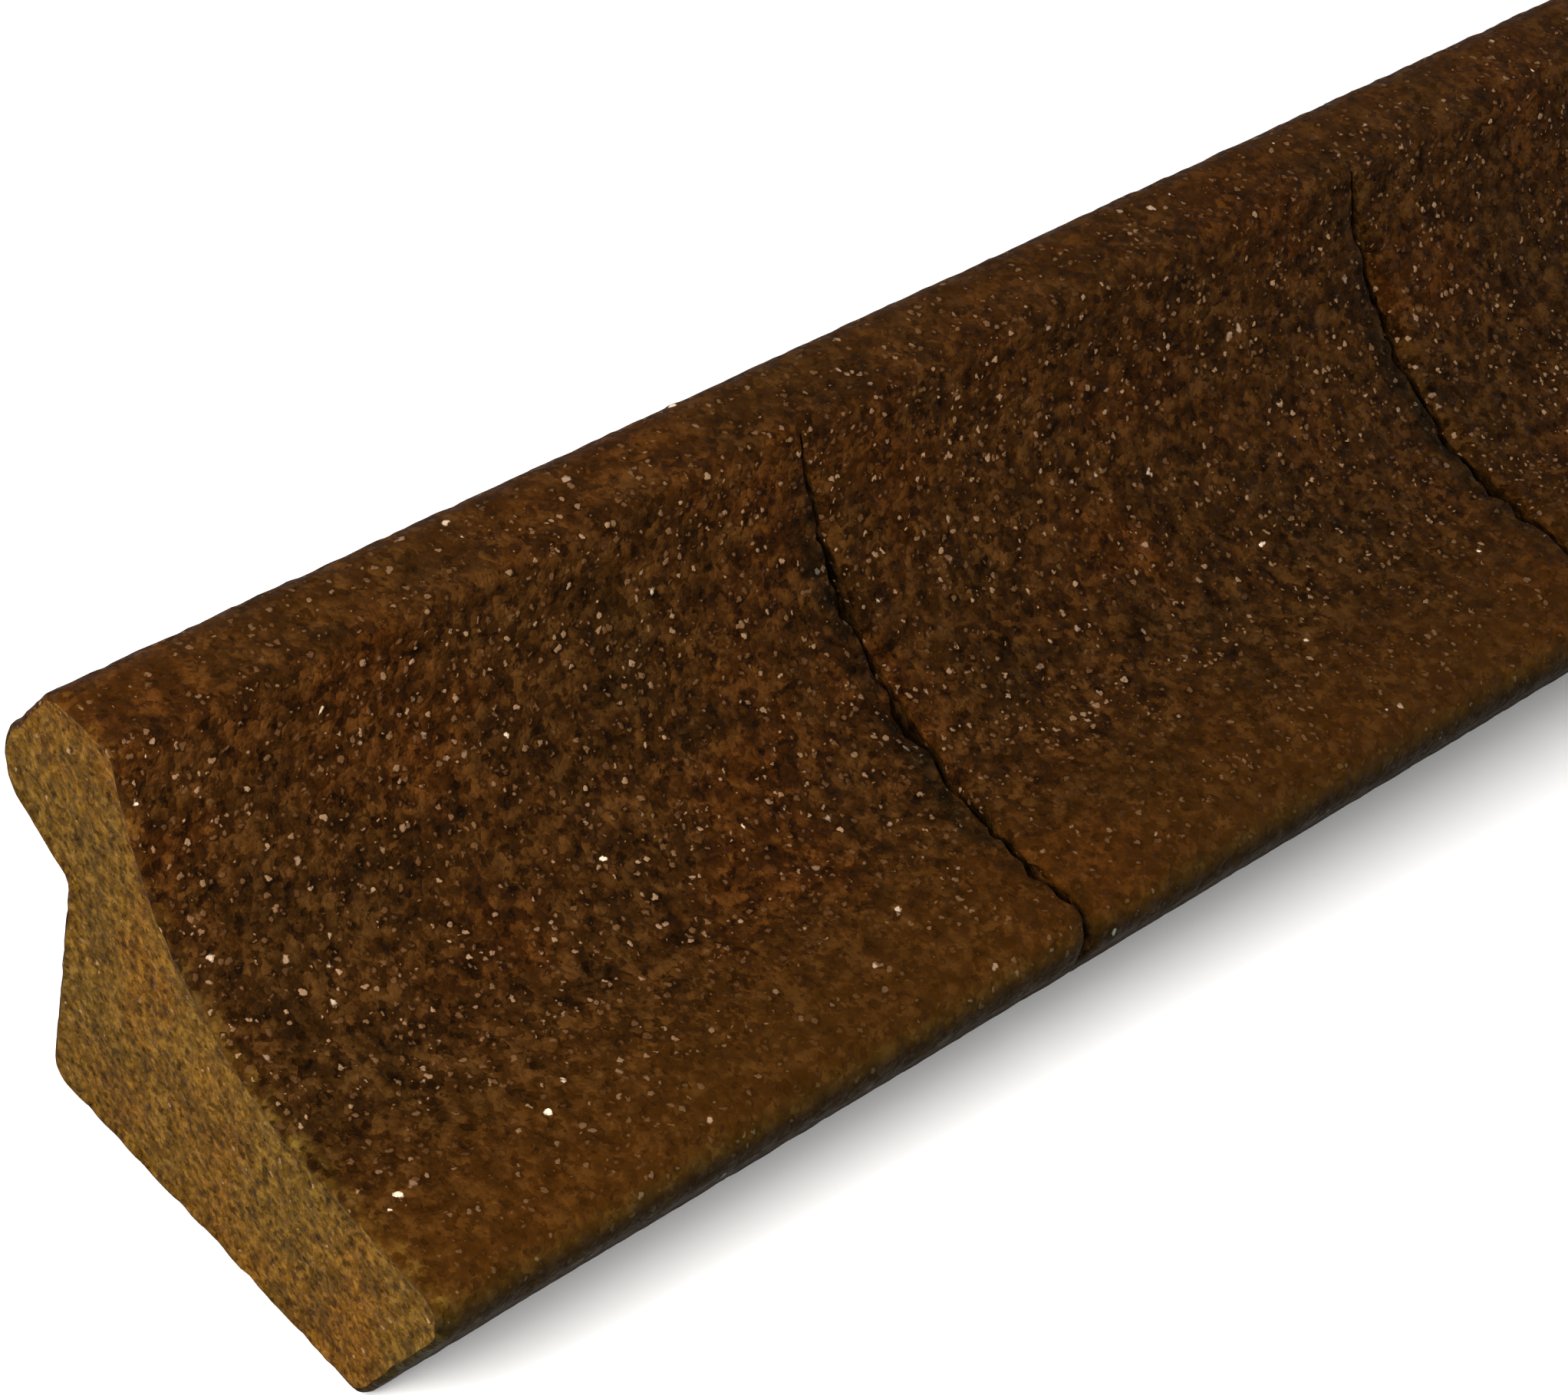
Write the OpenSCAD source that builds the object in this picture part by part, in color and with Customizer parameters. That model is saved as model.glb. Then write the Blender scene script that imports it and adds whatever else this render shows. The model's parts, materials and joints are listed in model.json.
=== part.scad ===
// Flexible kerb edging strip: a row of moulded kerb blocks, parted by narrow
// slits and held together by a flexible web at the back of each slit.
// X runs along the strip, the toe faces -Y, the strip lies on Z = 0.

/* [Strip] */
// Length of the whole strip
strip_length = 1219.2; // [900:0.1:1500]
// Number of kerb blocks in the strip
block_count = 9; // [3:1:12]
// Width of the slit between two blocks
slit_width = 2; // [1:0.1:3]

/* [Base] */
// Front to back size of the flat underside
base_depth = 77.5; // [70:0.5:90]
// Rounding where the underside meets the toe and the back wall
base_round = 4.5; // [2:0.5:6]

/* [Toe and shelf] */
// Lean of the toe's face away from upright, in degrees
toe_lean = 26.5; // [15:0.5:32]
// Height of the shelf at the lip
lip_height = 35; // [28:0.5:40]
// Rounding of the lip
lip_round = 6.2; // [3:0.1:8]
// Distance from the toe's bottom edge back to the end of the shelf
shelf_depth = 21; // [14:0.5:28]
// Height of the shelf where the rise begins
shelf_rear_height = 37.2; // [30:0.1:42]

/* [Rise and nose] */
// Slope at which the hollow rise leaves the shelf, in degrees
rise_start_slope = 9; // [4:0.5:15]
// Distance from the toe's bottom edge back to the nose's front edge
nose_front = 68.6; // [64:0.1:70]
// Height of the nose's front edge
nose_front_height = 77.5; // [72:0.5:80]
// Height of the nose's sharp upper back corner, before it is rounded
nose_rear_height = 78; // [74:0.1:86]
// How far that corner stands behind the back wall
nose_rear_reach = 7.2; // [6:0.1:9]
// How far the nose's sharp tip stands behind the back wall
nose_tip_reach = 22; // [18:0.1:24]
// Height of the nose's sharp tip
nose_tip_height = 53; // [50:0.1:57]
// Height of the notch where the nose's underside meets the back wall
notch_height = 43.1; // [40:0.1:46]
// Rounding of the nose's front edge
nose_front_round = 4; // [2:0.5:5]
// Rounding of the nose's upper back corner
nose_rear_round = 8; // [4:0.5:9]
// Rounding of the nose's tip
nose_tip_round = 10.5; // [4:0.5:11]

/* [Flexible web] */
// Length of each web along the strip
web_length = 12; // [8:0.5:20]
// Thickness of the web below the nose, from the slit's end to the back wall
web_thickness = 8.9; // [6:0.1:12]

/* [Hidden] */

CORNER_STEPS = 12;
RISE_STEPS = 16;
NOTCH_ROUND = 2;
OVERCUT = 1;
BLOCK_COLOUR = "#5a3a1c";
WEB_COLOUR = "#7a5a30";

block_pitch = strip_length / block_count;

// Sharp corners of the section as [y, z], with y counted back from the toe's
// bottom edge, going round from there over the lip, nose and back wall.
toe_corner = [0, 0];
lip_corner = [-lip_height * tan(toe_lean), lip_height];
rise_start = [shelf_depth, shelf_rear_height];
nose_front_corner = [nose_front, nose_front_height];
nose_rear_corner = [base_depth + nose_rear_reach, nose_rear_height];
nose_tip_corner = [base_depth + nose_tip_reach, nose_tip_height];
notch_corner = [base_depth, notch_height];
back_corner = [base_depth, 0];

function unit(v) = v / norm(v);

// The shortest signed turn from angle a to angle b.
function turn(a, b) = (b - a + 540) % 360 - 180;

// A corner between the lines to before and after, rounded by radius r.
function rounded(before, corner, after, r) =
    let (
        u = unit(before - corner),
        v = unit(after - corner),
        half = acos(u * v) / 2,
        reach = r / tan(half),
        first = corner + u * reach,
        last = corner + v * reach,
        centre = corner + unit(u + v) * r / sin(half),
        a = atan2(first[1] - centre[1], first[0] - centre[0]),
        b = atan2(last[1] - centre[1], last[0] - centre[0])
    )
    [for (k = [0 : CORNER_STEPS])
        let (t = a + turn(a, b) * k / CORNER_STEPS)
        centre + r * [cos(t), sin(t)]];

// A hollow arc from p that leaves at a slope and would end at q. Its last
// point is left out, for the rounded corner at q to take over.
function hollow_arc(p, q, slope) =
    let (
        chord = q - p,
        bend = atan2(chord[1], chord[0]) - slope,
        radius = norm(chord) / (2 * sin(bend)),
        centre = p + radius * [-sin(slope), cos(slope)]
    )
    [for (k = [0 : RISE_STEPS - 1])
        let (t = slope + 2 * bend * k / RISE_STEPS)
        centre + radius * [sin(t), -cos(t)]];

rise = hollow_arc(rise_start, nose_front_corner, rise_start_slope);
rise_last = rise[RISE_STEPS - 1];

section_points = concat(
    rounded(back_corner, toe_corner, lip_corner, base_round),
    rounded(toe_corner, lip_corner, rise_start, lip_round),
    rise,
    rounded(rise_last, nose_front_corner, nose_rear_corner, nose_front_round),
    rounded(nose_front_corner, nose_rear_corner, nose_tip_corner, nose_rear_round),
    rounded(nose_rear_corner, nose_tip_corner, notch_corner, nose_tip_round),
    rounded(nose_tip_corner, notch_corner, back_corner, NOTCH_ROUND),
    rounded(notch_corner, back_corner, toe_corner, base_round)
);

section_front = min([for (p = section_points) p[0]]);
section_back = max([for (p = section_points) p[0]]);
section_top = max([for (p = section_points) p[1]]);
section_middle = (section_front + section_back) / 2;

// The slit stops here, and the web stands behind it.
web_front = base_depth - web_thickness - section_middle;

// Where slit i crosses the strip. Slits 0 and block_count are the strip's ends.
function slit_x(i) = i * block_pitch - strip_length / 2;
function half_gap(i) = (i == 0 || i == block_count) ? 0 : slit_width / 2;

module section() {
    translate([-section_middle, 0])
        polygon(section_points);
}

// The whole section, swept along X between two places.
module kerb(x_low, x_high) {
    translate([x_low, 0, 0])
        rotate([90, 0, 90])
            linear_extrude(x_high - x_low)
                section();
}

// The room behind a slit that its web fills, grown a little where it is cut.
module web_room(i, grow) {
    translate([slit_x(i) - web_length / 2, web_front, -grow])
        cube([web_length, section_back - section_front, section_top + 2 * grow]);
}

module kerb_block(i) {
    color(BLOCK_COLOUR)
        difference() {
            kerb(slit_x(i - 1) + half_gap(i - 1), slit_x(i) - half_gap(i));
            for (slit = [i - 1, i])
                if (slit > 0 && slit < block_count)
                    web_room(slit, OVERCUT);
        }
}

module flex_web(i) {
    color(WEB_COLOUR)
        intersection() {
            kerb(slit_x(i) - web_length / 2, slit_x(i) + web_length / 2);
            web_room(i, OVERCUT);
        }
}

for (i = [1 : block_count])
    kerb_block(i);
for (i = [1 : block_count - 1])
    flex_web(i);
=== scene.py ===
"""Looks of the kerb edging strip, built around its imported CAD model.

Every kerb block and every flexible web gets a fine mesh of its own, swept along
the CAD section, roughened like bonded granules and crumbled at the slits.
"""

import itertools
import json
import math

import bpy
import numpy as np
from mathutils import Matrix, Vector
from mathutils.geometry import delaunay_2d_cdt


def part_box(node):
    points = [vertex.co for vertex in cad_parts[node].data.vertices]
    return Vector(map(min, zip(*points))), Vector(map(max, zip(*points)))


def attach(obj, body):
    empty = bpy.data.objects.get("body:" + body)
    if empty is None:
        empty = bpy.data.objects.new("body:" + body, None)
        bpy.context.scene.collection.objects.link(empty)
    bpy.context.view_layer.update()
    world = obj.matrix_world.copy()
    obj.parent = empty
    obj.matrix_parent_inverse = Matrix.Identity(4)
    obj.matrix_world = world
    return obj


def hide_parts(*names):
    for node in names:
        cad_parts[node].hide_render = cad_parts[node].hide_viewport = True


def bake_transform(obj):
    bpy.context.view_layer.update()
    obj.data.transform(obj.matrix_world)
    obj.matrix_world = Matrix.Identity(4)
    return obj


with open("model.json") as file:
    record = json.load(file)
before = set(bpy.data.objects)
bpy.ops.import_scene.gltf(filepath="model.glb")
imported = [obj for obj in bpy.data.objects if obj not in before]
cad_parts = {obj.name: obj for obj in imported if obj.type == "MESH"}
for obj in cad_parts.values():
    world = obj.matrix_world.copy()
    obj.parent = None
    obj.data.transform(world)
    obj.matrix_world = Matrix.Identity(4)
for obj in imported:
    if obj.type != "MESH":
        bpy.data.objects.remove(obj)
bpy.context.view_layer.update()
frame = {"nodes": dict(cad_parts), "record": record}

MM = 0.001

# Mesh spacing on the moulded faces, on the cut ends and inside the slits.
FACE_STEP = 1.1 * MM
END_STEP = 1.5 * MM
SLIT_STEP = 3.0 * MM

# Rounding of the edges at the strip's ends and at the mouth of each slit, and
# where the rows of points stand across it, as shares of the rounding.
END_EDGE = 1.1 * MM
SLIT_EDGE = 0.9 * MM
EDGE_ROWS = np.array([0.0, 0.12, 0.4, 1.0])

# Each lip's lean into its slit and how unevenly it does so, and the share of the
# slit's half width by which each has come in where the slit runs out.
LEAN = 0.28 * MM
LEAN_SPREAD = 0.22 * MM
PINCH = 0.72

# How deep the edges are chipped at a slit and at the strip's ends, and how far
# along the strip that reaches.
SLIT_CHIPS = (2.4 * MM, 3.0 * MM)
END_CHIPS = (0.7 * MM, 2.2 * MM)

# How far the slits stray from straight, and over what distance that dies away
# along the strip. It also dies away just in front of the web.
SLIT_WANDER = 2.1 * MM
WANDER_REACH = 24 * MM
WEB_FADE = 9 * MM

# The seed with which the first two slits stray about as they do in the photo.
BOW_SEED = 2079

# Where a slit runs out at the web, its lips come together over this distance.
PINCH_REACH = 7 * MM

# How far from a slit its lips are torn.
TEAR_REACH = 3.5 * MM

# How far the painted shade on one lip and the crumbs on the other reach from a slit.
SLIT_SHADE_REACH = 8 * MM
CRUMB_REACH = 6 * MM

# Points across the section where the web's front face closes a slit.
WEB_LINE_POINTS = 28

# Inner points of a cap stand in rows this share of a step apart, are shifted by
# up to this share of a step, and stay at least this far from its outline.
ROW_SHARE = 0.87
JITTER = 0.18
OUTLINE_GAP = 2.1 * MM

# Kinds of face: the moulded skin, a cut end, a slit's wall, a hidden joint.
SKIN, CUT, SLIT, JOINT = range(4)


def in_order(prefix):
    """The CAD nodes with a prefix, from the low end of the strip to the high."""
    names = [n for n in frame["nodes"] if n.startswith(prefix)]
    return sorted(names, key=lambda n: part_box(n)[0].x)


BLOCKS = in_order("kerb_block")
WEBS = in_order("flex_web")
STRIP_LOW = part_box(BLOCKS[0])[0].x
STRIP_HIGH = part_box(BLOCKS[-1])[1].x
WEB_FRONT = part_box(WEBS[0])[0].y
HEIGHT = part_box(BLOCKS[0])[1].z
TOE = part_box(BLOCKS[0])[0].y
SLITS = np.array([(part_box(w)[0].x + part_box(w)[1].x) / 2 for w in WEBS])
HALF_SLIT = SLITS[0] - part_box(BLOCKS[0])[1].x
HALF_WEB = SLITS[0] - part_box(WEBS[0])[0].x


# Noise ----------------------------------------------------------------------

def smooth(t):
    """A ramp from 0 to 1 with soft ends."""
    t = np.clip(t, 0, 1)
    return t * t * (3 - 2 * t)


def value_noise(points, size, seed):
    """Noise from -1 to 1 at each point, whose features have a given size."""
    table = np.random.default_rng(seed).uniform(-1, 1, 8192)
    mixers = np.array([73856093, 19349663, 83492791])
    scaled = points / size
    cell = np.floor(scaled).astype(np.int64)
    t = smooth(scaled - cell)
    total = np.zeros(scaled.shape[:-1])
    for corner in itertools.product((0, 1), repeat=3):
        key = ((cell + corner) * mixers).sum(-1) % len(table)
        weight = np.where(corner, t, 1 - t).prod(-1)
        total += weight * table[key]
    return total


def calm_and_painted_light(points):
    """How smooth the skin is, and how much lighter, warmer painted light it takes: most so
    on the upward shelf and the nose's back.
    """
    shelf = 1 - smooth((points[:, 1] - TOE - 6 * MM) / (34 * MM))
    crown = smooth((points[:, 2] - HEIGHT + 4 * MM) / (4 * MM))
    toward_back = smooth((points[:, 1] - WEB_FRONT) / (20 * MM))
    return np.clip(0.8 * shelf + crown * (0.2 + 0.6 * toward_back), 0, 1)


def moulded_relief(points):
    """Height of the moulded, granular surface over the smooth one."""
    grains = 0.20 * value_noise(points, 1.9 * MM, 1)
    clumps = 0.09 * value_noise(points, 5 * MM, 2)
    waves = 0.06 * value_noise(points, 45 * MM, 3)
    return (grains + clumps + waves - 0.2) * MM * (1 - 0.45 * calm_and_painted_light(points))


def cut_depth(points):
    """How deep a cut face is torn out at each point, never less than zero."""
    grains = 0.16 * value_noise(points, 2.1 * MM, 4)
    clumps = 0.10 * value_noise(points, 7 * MM, 5)
    pits = 0.9 * np.clip(value_noise(points, 2.8 * MM, 6) - 0.45, 0, 1)
    return (0.27 + grains + clumps + pits) * MM


# The section ----------------------------------------------------------------

def cad_outline(node):
    """The section as [y, z] points in order, read from a block's low end."""
    mesh = frame["nodes"][node].data
    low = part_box(node)[0].x
    sides = set()
    for face in mesh.polygons:
        corners = [mesh.vertices[i].co for i in face.vertices]
        if all(abs(c.x - low) < 1e-6 for c in corners):
            keys = [(round(c.y, 6), round(c.z, 6)) for c in corners]
            sides.update(zip(keys, keys[1:] + keys[:1]))
    following = {a: b for a, b in sides if (b, a) not in sides}
    outline = [min(following)]
    while following[outline[-1]] != outline[0]:
        outline.append(following[outline[-1]])
    return np.array(outline)


def evenly_spaced(outline, step):
    """The same closed outline with points a step apart."""
    closed = np.vstack([outline, outline[:1]])
    sides = np.linalg.norm(np.diff(closed, axis=0), axis=1)
    along = np.concatenate([[0], sides.cumsum()])
    at = np.linspace(0, along[-1], round(along[-1] / step), endpoint=False)
    return np.column_stack([np.interp(at, along, closed[:, i]) for i in range(2)])


def signed_area(outline):
    """The outline's area, which is above zero where it runs anticlockwise."""
    y, z = outline.T
    return np.sum(y * np.roll(z, -1) - z * np.roll(y, -1)) / 2


def section_loop():
    """The section's points, from under the web's front face round by the toe.

    Returns them and the number of the point where the loop meets the plane of
    the web's front face again, at the nose.
    """
    loop = evenly_spaced(cad_outline(BLOCKS[0]), FACE_STEP)
    if signed_area(loop) > 0:
        loop = loop[::-1]
    ahead = np.roll(loop, -1, axis=0)
    crossings = []
    for i in range(len(loop)):
        if (loop[i, 0] - WEB_FRONT) * (ahead[i, 0] - WEB_FRONT) < 0:
            share = (WEB_FRONT - loop[i, 0]) / (ahead[i, 0] - loop[i, 0])
            nearest = (i + round(share)) % len(loop)
            crossings.append((nearest, loop[i] + share * (ahead[i] - loop[i])))
    for nearest, place in crossings:
        loop[nearest] = place
    (bottom, _), (top, _) = sorted(crossings, key=lambda c: c[1][1])
    return np.roll(loop, -bottom, axis=0), (top - bottom) % len(loop)


def outward(loop):
    """Unit vectors that point out of the section at each of its points."""
    along = np.roll(loop, -1, axis=0) - np.roll(loop, 1, axis=0)
    out = np.column_stack([along[:, 1], -along[:, 0]])
    if signed_area(loop) < 0:
        out = -out
    return out / np.linalg.norm(out, axis=1, keepdims=True)


LOOP, NOSE_JOINT = section_loop()
OUT = outward(LOOP)
LIP_HEIGHT = LOOP[LOOP[:, 0].argmin(), 1]

# The part of the loop that the slits cut, and the spine behind it, which share
# their first and last points. WEB_LINE joins those across the section.
FRONT_PART = np.arange(0, NOSE_JOINT + 1)
SPINE_PART = np.append(np.arange(NOSE_JOINT, len(LOOP)), 0)
WEB_LINE = np.linspace(LOOP[0], LOOP[NOSE_JOINT], WEB_LINE_POINTS)


def inside(points, outline):
    """Which points lie inside a closed outline."""
    hit = np.zeros(len(points), bool)
    for (ay, az), (by, bz) in zip(outline, np.roll(outline, -1, axis=0)):
        if az != bz:
            level = (az > points[:, 1]) != (bz > points[:, 1])
            at = ay + (points[:, 1] - az) / (bz - az) * (by - ay)
            hit ^= level & (points[:, 0] < at)
    return hit


def filling(outline, step):
    """Inner points and triangles that fill an outline, wound to face +X."""
    rng = np.random.default_rng(len(outline))
    low = outline.min(0)
    high = outline.max(0)
    grid = [
        (y + (k % 2) * step / 2, z)
        for k, z in enumerate(np.arange(low[1], high[1], step * ROW_SHARE))
        for y in np.arange(low[0], high[0], step)
    ]
    points = np.array(grid) + rng.uniform(-JITTER, JITTER, (len(grid), 2)) * step
    points = points[inside(points, outline)]
    gap = np.linalg.norm(points[:, None] - outline[None], axis=2).min(1)
    points = points[gap > max(step * 0.8, OUTLINE_GAP)]
    every = [Vector(p) for p in np.vstack([outline, points]) / MM]
    ring = [(i, (i + 1) % len(outline)) for i in range(len(outline))]
    _, _, faces, sources, _, _ = delaunay_2d_cdt(every, ring, [], 1, 1e-5)
    triangles = []
    for face in faces:
        a, b, c = (sources[i][0] for i in face)
        turn = (every[b] - every[a]).cross(every[c] - every[a])
        triangles.append((a, b, c) if turn > 0 else (a, c, b))
    return points, triangles


FRONT_FILL = filling(np.vstack([LOOP[FRONT_PART], WEB_LINE[-2:0:-1]]), SLIT_STEP)
SPINE_FILL = filling(np.vstack([LOOP[SPINE_PART], WEB_LINE[1:-1]]), SLIT_STEP)
END_FILL = filling(LOOP, END_STEP)


# Places on the surface ------------------------------------------------------

def spaced(low, high):
    """Rows from low to high, a mesh step apart."""
    return np.linspace(low, high, max(2, round((high - low) / FACE_STEP) + 1))


# Rows of points, counted from a slit's middle or inwards from a strip's end.
SLIT_LIP = HALF_SLIT + SLIT_EDGE
MOUTH_ROWS = np.append(HALF_SLIT + SLIT_EDGE * EDGE_ROWS, spaced(SLIT_LIP, HALF_WEB)[1:])
END_ROWS = END_EDGE * EDGE_ROWS


def nearest_slit(x):
    """The number of the slit that is nearest to x."""
    return int(np.argmin(np.abs(SLITS - x)))


def in_front_of_web(places):
    """From 0 at the web's front face to 1 well in front of it."""
    return smooth((WEB_FRONT - places[:, 0]) / WEB_FADE)


def at_x(x, places):
    """[x, y, z] points of [y, z] places."""
    return np.column_stack([np.full(len(places), x), places])


def slit_wander(places, slit):
    """How far one slit strays along X at each [y, z] place."""
    here = at_x(SLITS[slit], places)
    bow = 0.85 * value_noise(here, 38 * MM, BOW_SEED)
    ragged = 0.24 * value_noise(here, 6.5 * MM, 12)
    crumbs = 0.18 * value_noise(here, 2.6 * MM, 13)
    return SLIT_WANDER * (bow + ragged + crumbs) * in_front_of_web(places)


def slit_lean(points):
    """How far each lip of a slit leans in, most where the slit runs out."""
    uneven = LEAN + LEAN_SPREAD * value_noise(points, 4.5 * MM, 16)
    at_web = smooth(1 - (WEB_FRONT - points[:, 1]) / PINCH_REACH)
    return uneven * (1 - at_web) + PINCH * HALF_SLIT * at_web


def slit_tear(points):
    """How far a lip of a slit is torn back, never less than zero."""
    crumbs = np.clip(value_noise(points, 2.1 * MM, 14) - 0.05, 0, 1)
    bites = np.clip(value_noise(points, 5.5 * MM, 15) - 0.25, 0, 1)
    return (1.0 * crumbs + 1.3 * bites) * MM * in_front_of_web(points[:, 1:])


def rounding(distance, radius):
    """Depth of a rounded edge at a distance from the face that it borders."""
    t = np.clip(1 - distance / radius, 0, 1)
    return radius * (1 - np.sqrt(1 - t * t))


def chipping(points, distance, depth, reach):
    """Depth of the chips along an edge at a distance from it."""
    chips = np.clip(value_noise(points, 3.4 * MM, 21) - 0.1, 0, 1)
    return depth * chips * (1 - smooth(distance / reach))


def skin_row(x):
    """The moulded skin's points at x, with the wear of the edges near it."""
    rest = at_x(x, LOOP)
    slit = nearest_slit(x)
    to_slit = abs(x - SLITS[slit]) - HALF_SLIT
    to_end = min(x - STRIP_LOW, STRIP_HIGH - x)
    slit_wear = rounding(to_slit, SLIT_EDGE) + chipping(rest, to_slit, *SLIT_CHIPS)
    end_wear = rounding(to_end, END_EDGE) + chipping(rest, to_end, *END_CHIPS)
    rise = moulded_relief(rest) - slit_wear * in_front_of_web(LOOP) - end_wear
    toward_slit = math.copysign(1, SLITS[slit] - x)
    lean = slit_lean(rest) - slit_tear(rest)
    points = rest.copy()
    points[:, 0] += slit_wander(LOOP, slit) * (1 - smooth(to_slit / WANDER_REACH))
    if to_slit >= 0:
        points[:, 0] += toward_slit * lean * (1 - smooth(to_slit / TEAR_REACH))
    points[:, 1:] += OUT * rise[:, None]
    points[:, 2] = np.maximum(points[:, 2], 0)
    return points, rest


def under_lip_painted_shade(rest):
    """How far below the lip a place on the toe's face is, from 0 to 1, which sets the
    painted shade there.
    """
    below = smooth((LIP_HEIGHT + 6.4 * MM - rest[:, 2]) / (6.5 * MM))
    return below * (1 - smooth((rest[:, 1] - TOE - 14 * MM) / (4 * MM)))


def beside_slit(rest, side, reach):
    """How close a place is to a slit on the side where X - slit has a sign."""
    offset = rest[:, 0] - SLITS[np.argmin(np.abs(rest[:, :1] - SLITS), axis=1)]
    near = 1 - smooth((np.abs(offset) - HALF_SLIT) / reach)
    return near * (offset * side > 0) * in_front_of_web(rest[:, 1:])


def slit_painted_shade(rest):
    """Painted shade on the lip on the -X side of a slit, faint where the skin is smooth."""
    near = np.clip(1.6 * beside_slit(rest, -1, SLIT_SHADE_REACH), 0, 1)
    return near * (1 - 0.8 * calm_and_painted_light(rest))


def crumbs(rest):
    """The pale crumbs on the lip on the +X side of a slit."""
    return beside_slit(rest, 1, CRUMB_REACH)


def end_wear(rest):
    """How close a place is to the worn edge round a cut end, worst at the toe."""
    to_end = np.minimum(rest[:, 0] - STRIP_LOW, STRIP_HIGH - rest[:, 0])
    toe_side = smooth((10 * MM - rest[:, 1]) / (25 * MM))
    reach = (2.4 + 1.8 * toe_side) * MM
    return (1 - smooth(to_end / reach)) * (0.35 + 0.65 * toe_side)


# The masks that the materials read: real wear and crumbs, painted shade under the lip and
# beside the slits, and painted light on the upward places.
WEAR_AND_PAINTED_LIGHT = {
    "end_wear": end_wear,
    "calm_and_painted_light": calm_and_painted_light,
    "under_lip_painted_shade": under_lip_painted_shade,
    "slit_painted_shade": slit_painted_shade,
    "crumbs": crumbs,
}


# Pieces ---------------------------------------------------------------------

class Shell:
    """Gathers a piece's points and faces, and turns them into an object."""

    def __init__(self):
        self.points = np.empty((0, 3))
        self.rest = np.empty((0, 3))
        self.faces = []
        self.kinds = []

    def add_points(self, points, rest):
        """Adds points, and their smooth places at rest; returns their numbers."""
        first = len(self.points)
        self.points = np.vstack([self.points, points])
        self.rest = np.vstack([self.rest, rest])
        return np.arange(first, len(self.points))

    def add_skin(self, rows, front_rows, spine_rows):
        """Skin over the given rows; returns the numbers of its points."""
        made = [skin_row(x) for x in rows]
        points = np.array([m[0] for m in made])
        rest = np.array([m[1] for m in made])
        wanted = np.zeros(points.shape[:2], bool)
        wanted[np.ix_(front_rows, FRONT_PART)] = True
        wanted[np.ix_(spine_rows, SPINE_PART)] = True
        numbers = np.full(wanted.shape, -1)
        numbers[wanted] = self.add_points(points[wanted], rest[wanted])
        self.add_grid(numbers[np.ix_(front_rows, FRONT_PART)], SKIN)
        self.add_grid(numbers[np.ix_(spine_rows, SPINE_PART)], SKIN)
        return numbers

    def add_grid(self, numbers, kind, flip=False):
        """Quads over a grid of point numbers."""
        low, high = numbers[:-1], numbers[1:]
        quads = np.stack([low[:, :-1], high[:, :-1], high[:, 1:], low[:, 1:]], -1)
        quads = quads.reshape(-1, 4)
        self.faces.extend((quads[:, ::-1] if flip else quads).tolist())
        self.kinds.extend([kind] * len(quads))

    def add_web_plane(self, skin, rows, picked, flip=False):
        """Faces on the plane of the web's front, across the picked rows."""
        inner = np.vstack([at_x(rows[r], WEB_LINE[1:-1]) for r in picked])
        numbers = self.add_points(inner, inner).reshape(len(picked), -1)
        grid = np.column_stack([skin[picked, 0], numbers, skin[picked, NOSE_JOINT]])
        self.add_grid(grid, JOINT, flip)
        return grid

    def add_cap(self, ring, x, fill, kind, facing, slit=None):
        """A face across the strip at x, which faces +X or -X."""
        inner, triangles = fill
        rest = at_x(x, inner)
        points = rest.copy()
        if kind != JOINT:
            points[:, 0] -= facing * cut_depth(rest)
        if slit is not None:
            points[:, 0] += slit_wander(inner, slit) + facing * slit_lean(rest)
        numbers = np.append(ring, self.add_points(points, rest))
        for triangle in triangles:
            face = numbers[list(triangle)].tolist()
            self.faces.append(face if facing > 0 else face[::-1])
            self.kinds.append(kind)

    def build(self, name, materials):
        """The finished object, with the attributes that its materials read."""
        mesh = bpy.data.meshes.new(name)
        mesh.from_pydata(self.points.tolist(), [], self.faces)
        for material in materials:
            mesh.materials.append(material)
        kinds = np.array(self.kinds)
        slots = np.minimum(kinds, SLIT).astype(np.int32)
        mesh.polygons.foreach_set("material_index", slots)
        mesh.polygons.foreach_set("use_smooth", np.ones(len(kinds), bool))
        place = mesh.attributes.new("rest_place", "FLOAT_VECTOR", "POINT")
        place.data.foreach_set("vector", self.points.ravel().astype(np.float32))
        for mark, amount in WEAR_AND_PAINTED_LIGHT.items():
            attribute = mesh.attributes.new(mark, "FLOAT", "POINT")
            attribute.data.foreach_set("value", amount(self.rest).astype(np.float32))
        sharpen_joints(mesh, kinds)
        mesh.update()
        piece = bpy.data.objects.new(name, mesh)
        bpy.context.scene.collection.objects.link(piece)
        return piece


def sharpen_joints(mesh, kinds):
    """Keeps the skin's shading clear of the hidden faces that it meets."""
    seen = {}
    for face in mesh.polygons:
        hidden = bool(kinds[face.index] == JOINT)
        for key in face.edge_keys:
            seen.setdefault(key, set()).add(hidden)
    sharp = [len(seen[tuple(sorted(e.vertices))]) > 1 for e in mesh.edges]
    attribute = mesh.attributes.new("sharp_edge", "BOOLEAN", "EDGE")
    attribute.data.foreach_set("value", sharp)


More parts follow.
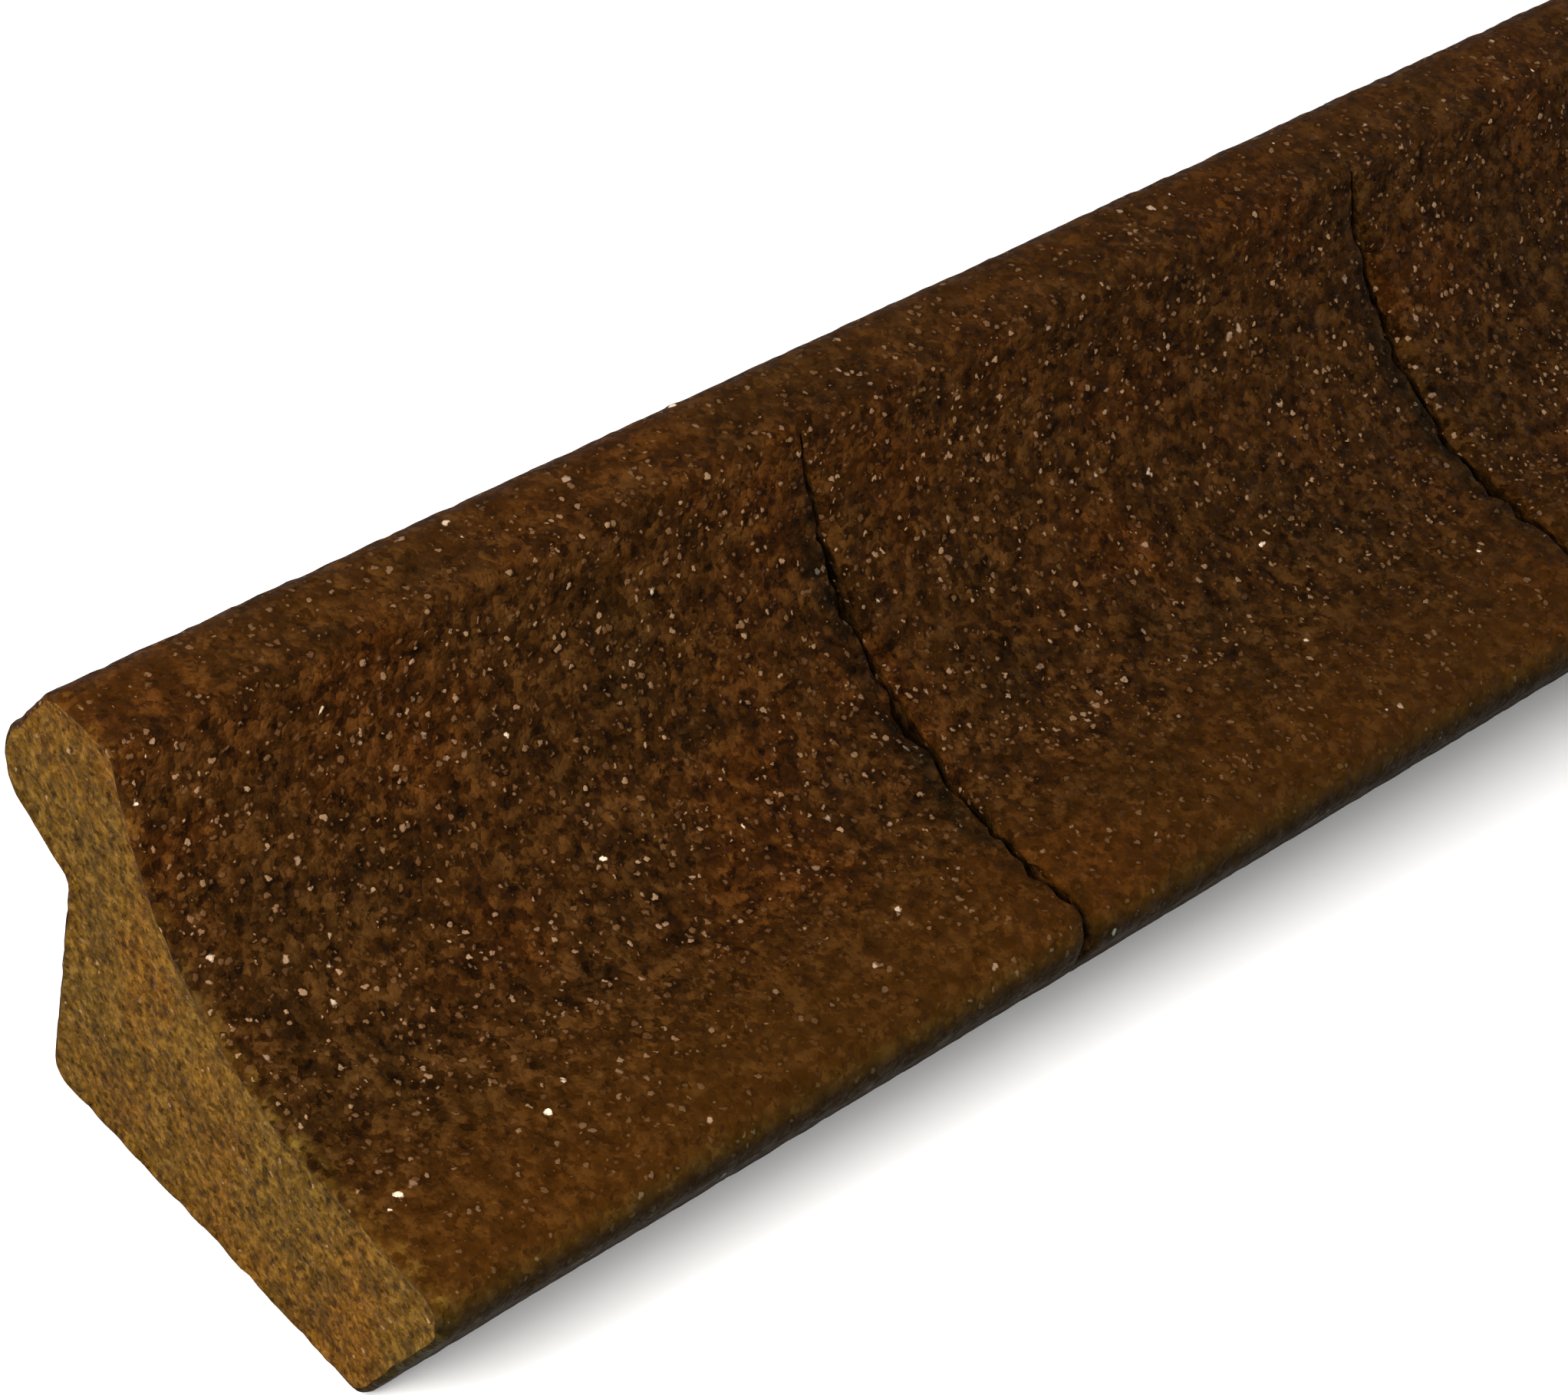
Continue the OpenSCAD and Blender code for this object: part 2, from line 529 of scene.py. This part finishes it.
def make_block(number, materials):
    """One kerb block: its skin, its two ends and the rooms for its webs."""
    first = number == 0
    last = number == len(BLOCKS) - 1
    low = STRIP_LOW + END_ROWS if first else SLITS[number - 1] + MOUTH_ROWS
    high = STRIP_HIGH - END_ROWS if last else SLITS[number] - MOUTH_ROWS
    between = spaced(low[-1], high[-1])[1:-1]
    rows = np.concatenate([low, between, high[::-1]])
    spine_low = 0 if first else len(low) - 1
    spine_high = len(rows) - 1 if last else len(rows) - len(high)
    shell = Shell()
    every_row = np.arange(len(rows))
    skin = shell.add_skin(rows, every_row, np.arange(spine_low, spine_high + 1))
    ends = [
        (0, spine_low, -1, None if first else number - 1),
        (len(rows) - 1, spine_high, 1, None if last else number),
    ]
    for row, spine_row, facing, slit in ends:
        if slit is None:
            shell.add_cap(skin[row], rows[row], END_FILL, CUT, facing)
            continue
        picked = np.arange(min(row, spine_row), max(row, spine_row) + 1)
        plane = shell.add_web_plane(skin, rows, picked, flip=True)
        at_slit, at_spine = (plane[-1], plane[0]) if facing > 0 else (plane[0], plane[-1])
        ring = np.append(skin[row, FRONT_PART], at_slit[-2:0:-1])
        shell.add_cap(ring, rows[row], FRONT_FILL, SLIT, facing, slit)
        ring = np.append(skin[spine_row, SPINE_PART], at_spine[1:-1])
        shell.add_cap(ring, rows[spine_row], SPINE_FILL, JOINT, facing)
    return shell.build(f"crumb_block_{number + 1}", materials)


def make_web(number, materials):
    """One flexible web: its skin, its front in the slit and its two ends."""
    rows = SLITS[number] + np.concatenate([-MOUTH_ROWS[::-1], [0], MOUTH_ROWS])
    every_row = np.arange(len(rows))
    shell = Shell()
    skin = shell.add_skin(rows, every_row[:0], every_row)
    plane = shell.add_web_plane(skin, rows, every_row)
    for row, facing in ((0, -1), (len(rows) - 1, 1)):
        ring = np.append(skin[row, SPINE_PART], plane[row][1:-1])
        shell.add_cap(ring, rows[row], SPINE_FILL, JOINT, facing)
    return shell.build(f"crumb_web_{number + 1}", materials)


# Materials ------------------------------------------------------------------

class Graph:
    """Builds the nodes of one material or world."""

    def __init__(self, owner):
        owner.use_nodes = True
        self.tree = owner.node_tree
        self.tree.nodes.clear()

    def add(self, kind, sockets, **settings):
        """A node, with its sockets set to values or linked to other nodes."""
        node = self.tree.nodes.new("ShaderNode" + kind)
        for key, value in settings.items():
            setattr(node, key, value)
        for key, value in sockets.items():
            if isinstance(value, bpy.types.NodeSocket):
                self.tree.links.new(value, node.inputs[key])
            else:
                node.inputs[key].default_value = value
        return node

    def math(self, operation, a, b):
        """The result of one operation on two values."""
        return self.add("Math", {0: a, 1: b}, operation=operation).outputs[0]

    def noise(self, place, size, detail=2.0):
        """Noise from 0 to 1 whose features have a given size."""
        sockets = {"Vector": place, "Scale": 1 / size, "Detail": detail}
        return self.add("TexNoise", sockets).outputs["Fac"]

    def cells(self, place, size):
        """Random cells of a given size, each with a colour of its own."""
        sockets = {"Vector": place, "Scale": 1 / size, "Randomness": 1.0}
        return self.add("TexVoronoi", sockets, feature="F1")

    def band(self, value, low, high, at_low=0.0, at_high=1.0):
        """A soft step in value from at_low to at_high, between low and high."""
        sockets = {0: value, 1: low, 2: high, 3: at_low, 4: at_high}
        node = self.add("MapRange", sockets, interpolation_type="SMOOTHSTEP")
        return node.outputs[0]

    def mix(self, share, a, b, blend="MIX"):
        """A share of b over a, or blended with it."""
        sockets = {0: share, 6: a, 7: b}
        node = self.add("Mix", sockets, data_type="RGBA", blend_type=blend)
        return node.outputs[2]

    def ramp(self, value, stops):
        """A colour for a value, between the stops' positions and colours."""
        node = self.add("ValToRGB", {0: value})
        elements = node.color_ramp.elements
        for element, (position, colour) in zip(elements, (stops[0], stops[-1])):
            element.position = position
            element.color = (*colour, 1)
        for position, colour in stops[1:-1]:
            elements.new(position).color = (*colour, 1)
        return node.outputs[0]


def attribute(g, name, output="Fac"):
    """What the mesh holds at each point under a name."""
    return g.add("Attribute", {}, attribute_name=name).outputs[output]


def spots(g, place, spacing, share, small, large, blur):
    """Scattered round spots: where they are, and a random tone for each.

    A share of the cells, spacing across, holds a spot whose radius lies
    between small and large, and whose rim is blurred, all counted in cells.
    """
    cell = g.cells(place, spacing)
    random = g.add("SeparateColor", {0: cell.outputs["Color"]})
    there = g.math("LESS_THAN", random.outputs[0], share)
    radius = g.band(random.outputs[1], 0.0, 1.0, small, large)
    depth = g.math("SUBTRACT", radius, cell.outputs["Distance"])
    return g.math("MULTIPLY", there, g.band(depth, 0.0, blur)), random.outputs[2]


def granular(name, grain, tones, painted_light_tone, flecks, specks, pit_tone, bump, moulded=True):
    """Bonded granules, grain across, in tones from dark to light.

    painted_light_tone is painted light on the smooth places that face up, and pit_tone
    darkens the pits.
    flecks and specks are how common the small and the large light spots are. bump is the
    height of the relief, and moulded adds the wear, the painted shade and the painted light
    that only the skin has.
    """
    material = bpy.data.materials.new(name)
    g = Graph(material)
    place = attribute(g, "rest_place", "Vector")
    calm_and_painted_light_share = attribute(g, "calm_and_painted_light") if moulded else 0.0
    is_crumbly = attribute(g, "crumbs") if moulded else 0.0

    # Ragged outlines, by shifting every place a little at random.
    jumble = g.add("TexNoise", {"Vector": place, "Scale": 1 / (0.8 * grain), "Detail": 2.0})
    sockets = {0: jumble.outputs["Color"], 1: (0.5, 0.5, 0.5)}
    centred = g.add("VectorMath", sockets, operation="SUBTRACT")
    sockets = {0: centred.outputs[0], "Scale": 1.1 * grain}
    shift = g.add("VectorMath", sockets, operation="SCALE")
    ragged = g.add("VectorMath", {0: place, 1: shift.outputs[0]}).outputs[0]

    # Every granule has a tone of its own, and so have the fines between them.
    coarse = g.cells(ragged, grain)
    fine = g.cells(ragged, 0.5 * grain)
    coarse_random = g.add("SeparateColor", {0: coarse.outputs["Color"]})
    fine_random = g.add("SeparateColor", {0: fine.outputs["Color"]})
    tone = g.math("MULTIPLY", coarse_random.outputs[0], 0.42)
    tone = g.math("ADD", tone, g.math("MULTIPLY", fine_random.outputs[0], 0.22))
    mottle = g.band(g.noise(place, 2.4 * grain, 2.0), 0.28, 0.72, 0.0, 0.4)
    colour = g.ramp(g.math("ADD", tone, mottle), list(zip((0.13, 0.52, 0.95), tones)))

    # Broad patches drift to orange and to olive.
    drift = g.noise(place, 30 * MM, 3.0)
    colour = g.mix(g.band(drift, 0.5, 0.68), colour, (1.14, 0.97, 0.8, 1), "MULTIPLY")
    colour = g.mix(g.band(drift, 0.5, 0.34), colour, (0.86, 0.93, 1.0, 1), "MULTIPLY")
    stain = g.noise(place, 9 * MM, 4.0)
    colour = g.mix(g.band(stain, 0.5, 0.34), colour, (0.72, 0.74, 0.8, 1), "MULTIPLY")

    # Round a cut end the skin is rubbed down to a lighter tone, in patches.
    if moulded:
        rubbed = g.band(g.noise(place, 2.5 * MM, 4.0), 0.36, 0.6)
        rubbed = g.math("MULTIPLY", attribute(g, "end_wear"), rubbed)
        colour = g.mix(rubbed, colour, (2.5, 3.5, 2.9, 1), "MULTIPLY")

    # Small dark pits, light flecks and a few large cream specks.
    pits = g.band(g.noise(place, 1.5 * grain, 3.0), 0.42, 0.34)
    colour = g.mix(pits, colour, (*pit_tone, 1), "MULTIPLY")
    flocks = g.band(g.noise(place, 8 * MM, 2.0), 0.32, 0.68, 0.5 * flecks, 1.5 * flecks)
    fleck, fleck_random = spots(g, ragged, 1.5 * MM, flocks, 0.18, 0.42, 0.12)
    fleck = g.math("MULTIPLY", fleck, g.band(calm_and_painted_light_share, 0.0, 1.0, 0.85, 0.3))
    fleck_stops = [
        (0.0, (0.050, 0.020, 0.006)),
        (0.6, (0.105, 0.050, 0.019)),
        (1.0, (0.29, 0.175, 0.095)),
    ]
    colour = g.mix(fleck, colour, g.ramp(fleck_random, fleck_stops))
    # Painted light: the smooth places that face up, the shelf and the nose's back, take a
    # lighter, warmer tone.
    colour = g.mix(g.math("MULTIPLY", calm_and_painted_light_share, 0.42), colour, (*painted_light_tone, 1))
    clusters = g.band(g.noise(place, 16 * MM, 2.0), 0.38, 0.66, 0.25, 1.5)
    clusters = g.math("ADD", clusters, g.math("MULTIPLY", is_crumbly, 5.0))
    share = g.math("MULTIPLY", clusters, specks)
    speck, speck_random = spots(g, ragged, 2.8 * MM, share, 0.12, 0.30, 0.12)
    speck_stops = [
        (0.0, (0.12, 0.065, 0.034)),
        (0.7, (0.25, 0.16, 0.10)),
        (1.0, (0.80, 0.62, 0.44)),
    ]
    colour = g.mix(speck, colour, g.ramp(speck_random, speck_stops))

    # Below the lip the skin is painted olive, then dark, as painted shade; the lip on the
    # -X side of each slit is painted darker, as painted shade too.
    if moulded:
        low = attribute(g, "under_lip_painted_shade")
        colour = g.mix(g.band(low, 0.0, 0.5), colour, (0.92, 1.22, 1.3, 1), "MULTIPLY")
        colour = g.mix(g.band(low, 0.3, 1.0), colour, (0.26, 0.30, 0.32, 1), "MULTIPLY")
        # Painted shade: the lip on the -X side of each slit is darkened and greyed, in
        # patches.
        patchy = g.band(g.noise(place, 4 * MM, 4.0), 0.35, 0.62, 0.35, 1.0)
        slit_shade = g.math("MULTIPLY", attribute(g, "slit_painted_shade"), patchy)
        colour = g.mix(slit_shade, colour, (0.34, 0.46, 0.62, 1), "MULTIPLY")

    # Domed granules, fine grit and pits raise the surface, less where calm.
    dome = g.band(coarse.outputs["Distance"], 0.85, 0.0)
    grit = g.band(fine.outputs["Distance"], 0.85, 0.0, 0.0, 0.35)
    height = g.math("SUBTRACT", g.math("ADD", dome, grit), pits)
    height = g.math("MULTIPLY", height, g.band(calm_and_painted_light_share, 0.0, 1.0, 1.0, 0.45))
    raised = g.add("Bump", {"Strength": 0.8, "Distance": bump, "Height": height})
    rough = g.band(coarse_random.outputs[2], 0.0, 1.0, 0.7, 0.95)
    shader = g.add(
        "BsdfPrincipled",
        {
            "Base Color": colour,
            "Roughness": rough,
            "Specular IOR Level": 0.06,
            "Specular Tint": (1.0, 0.62, 0.3, 1),
            "Normal": raised.outputs[0],
        },
    )
    g.add("OutputMaterial", {"Surface": shader.outputs[0]})
    return material


def floor_material():
    """Pale matt paper, very slightly uneven."""
    material = bpy.data.materials.new("pale_floor")
    g = Graph(material)
    place = g.add("TexCoord", {}).outputs["Object"]
    patch = g.noise(place, 0.4, 3.0)
    colour = g.mix(g.band(patch, 0.3, 0.7), (0.90, 0.90, 0.90, 1), (0.94, 0.94, 0.94, 1))
    sockets = {"Base Color": colour, "Roughness": 0.9, "Specular IOR Level": 0.1}
    shader = g.add("BsdfPrincipled", sockets)
    g.add("OutputMaterial", {"Surface": shader.outputs[0]})
    return material


# The strip ------------------------------------------------------------------

MATERIALS = [
    granular(
        "moulded_granules",
        grain=1.5 * MM,
        tones=[(0.0065, 0.0021, 0.0004), (0.0235, 0.0077, 0.0010), (0.066, 0.0255, 0.0050)],
        painted_light_tone=(0.050, 0.0160, 0.0006),
        flecks=0.6,
        specks=0.07,
        pit_tone=(0.42, 0.36, 0.3),
        bump=0.45 * MM,
    ),
    granular(
        "cut_granules",
        grain=0.9 * MM,
        tones=[(0.022, 0.0097, 0.0006), (0.075, 0.0350, 0.0029), (0.158, 0.082, 0.0120)],
        painted_light_tone=(0.08, 0.04, 0.004),
        flecks=0.40,
        specks=0.012,
        pit_tone=(0.66, 0.6, 0.5),
        bump=0.32 * MM,
        moulded=False,
    ),
    # Slit walls: torn granules in tones darker than the cut ends', as painted shade inside
    # the slits.
    granular(
        "torn_granules_painted_shade",
        grain=1.8 * MM,
        tones=[(0.005, 0.0022, 0.0004), (0.018, 0.0078, 0.0014), (0.052, 0.023, 0.0052)],
        painted_light_tone=(0.018, 0.008, 0.0014),
        flecks=0.25,
        specks=0.02,
        pit_tone=(0.4, 0.35, 0.3),
        bump=0.5 * MM,
        moulded=False,
    ),
]


def body_of(node):
    """The CAD body that a node belongs to."""
    bodies = frame["record"]["behaviour"]["bodies"]
    return next(name for name, nodes in bodies.items() if node in nodes)


for number, node in enumerate(BLOCKS):
    piece = make_block(number, MATERIALS)
    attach(piece, body_of(node))
    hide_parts(node)

for number, node in enumerate(WEBS):
    piece = make_web(number, MATERIALS)
    inner = body_of(node)
    low, high = body_of(BLOCKS[number]), body_of(BLOCKS[number + 1])
    side = 1 if inner == low else -1
    end = (SLITS[number] + side * HALF_WEB, 0, 0)
    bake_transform(piece)
    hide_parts(node)


# Floor, light and camera ----------------------------------------------------

WHITE = (1.0, 1.0, 1.0)
WARM = (1.0, 0.98, 0.95)


def make_floor():
    """A wide flat floor, a hair below the strip."""
    half = 10.0
    gap = 0.1 * MM
    corners = [(x * half, y * half, -gap) for x, y in ((-1, -1), (1, -1), (1, 1), (-1, 1))]
    mesh = bpy.data.meshes.new("pale_floor")
    mesh.from_pydata(corners, [], [(0, 1, 2, 3)])
    mesh.materials.append(floor_material())
    floor = bpy.data.objects.new("pale_floor", mesh)
    bpy.context.scene.collection.objects.link(floor)


def make_light(name, place, target, size, power, colour):
    """A square soft box that faces a target point."""
    lamp = bpy.data.lights.new(name, "AREA")
    lamp.shape = "SQUARE"
    lamp.size = size
    lamp.energy = power
    lamp.color = colour
    holder = bpy.data.objects.new(name, lamp)
    holder.location = place
    holder.visible_camera = False
    aim = Vector(target) - Vector(place)
    holder.rotation_euler = aim.to_track_quat("-Z", "Y").to_euler()
    bpy.context.scene.collection.objects.link(holder)


def make_world(strength):
    """Even white light from all round."""
    world = bpy.data.worlds.new("studio")
    bpy.context.scene.world = world
    g = Graph(world)
    light = g.add("Background", {"Color": (1.0, 1.0, 1.0, 1), "Strength": strength})
    g.add("OutputWorld", {"Surface": light.outputs[0]})


def make_camera():
    """A long lens that looks down along the strip from its low end."""
    camera = bpy.data.objects.new("camera", bpy.data.cameras.new("camera"))
    camera.data.lens = 101.54
    camera.data.sensor_width = 36
    camera.location = (-0.89855, -0.31918, 0.53039)
    camera.rotation_euler = [math.radians(a) for a in (46.259, -9.455, -42.502)]
    bpy.context.scene.collection.objects.link(camera)
    bpy.context.scene.camera = camera


make_floor()
make_world(0.50)
for name, end, away in (("low_key", STRIP_LOW, -0.30), ("high_key", STRIP_HIGH, 0.30)):
    make_light(name, (end + away, -0.12, 0.40), (end, 0, HEIGHT / 2), 0.3, 4.7, WARM)
make_light("overhead", (-0.1, 0.3, 1.7), (0, 0, 0), 1.8, 11.5, WHITE)
make_light("front_fill", (0.1, -1.8, 1.2), (0, 0, 0), 1.4, 8.0, WHITE)
make_light("back_fill", (0.1, 1.8, 1.2), (0, 0, 0), 1.4, 8.0, WHITE)
make_camera()
bpy.context.scene.view_settings.view_transform = "Standard"
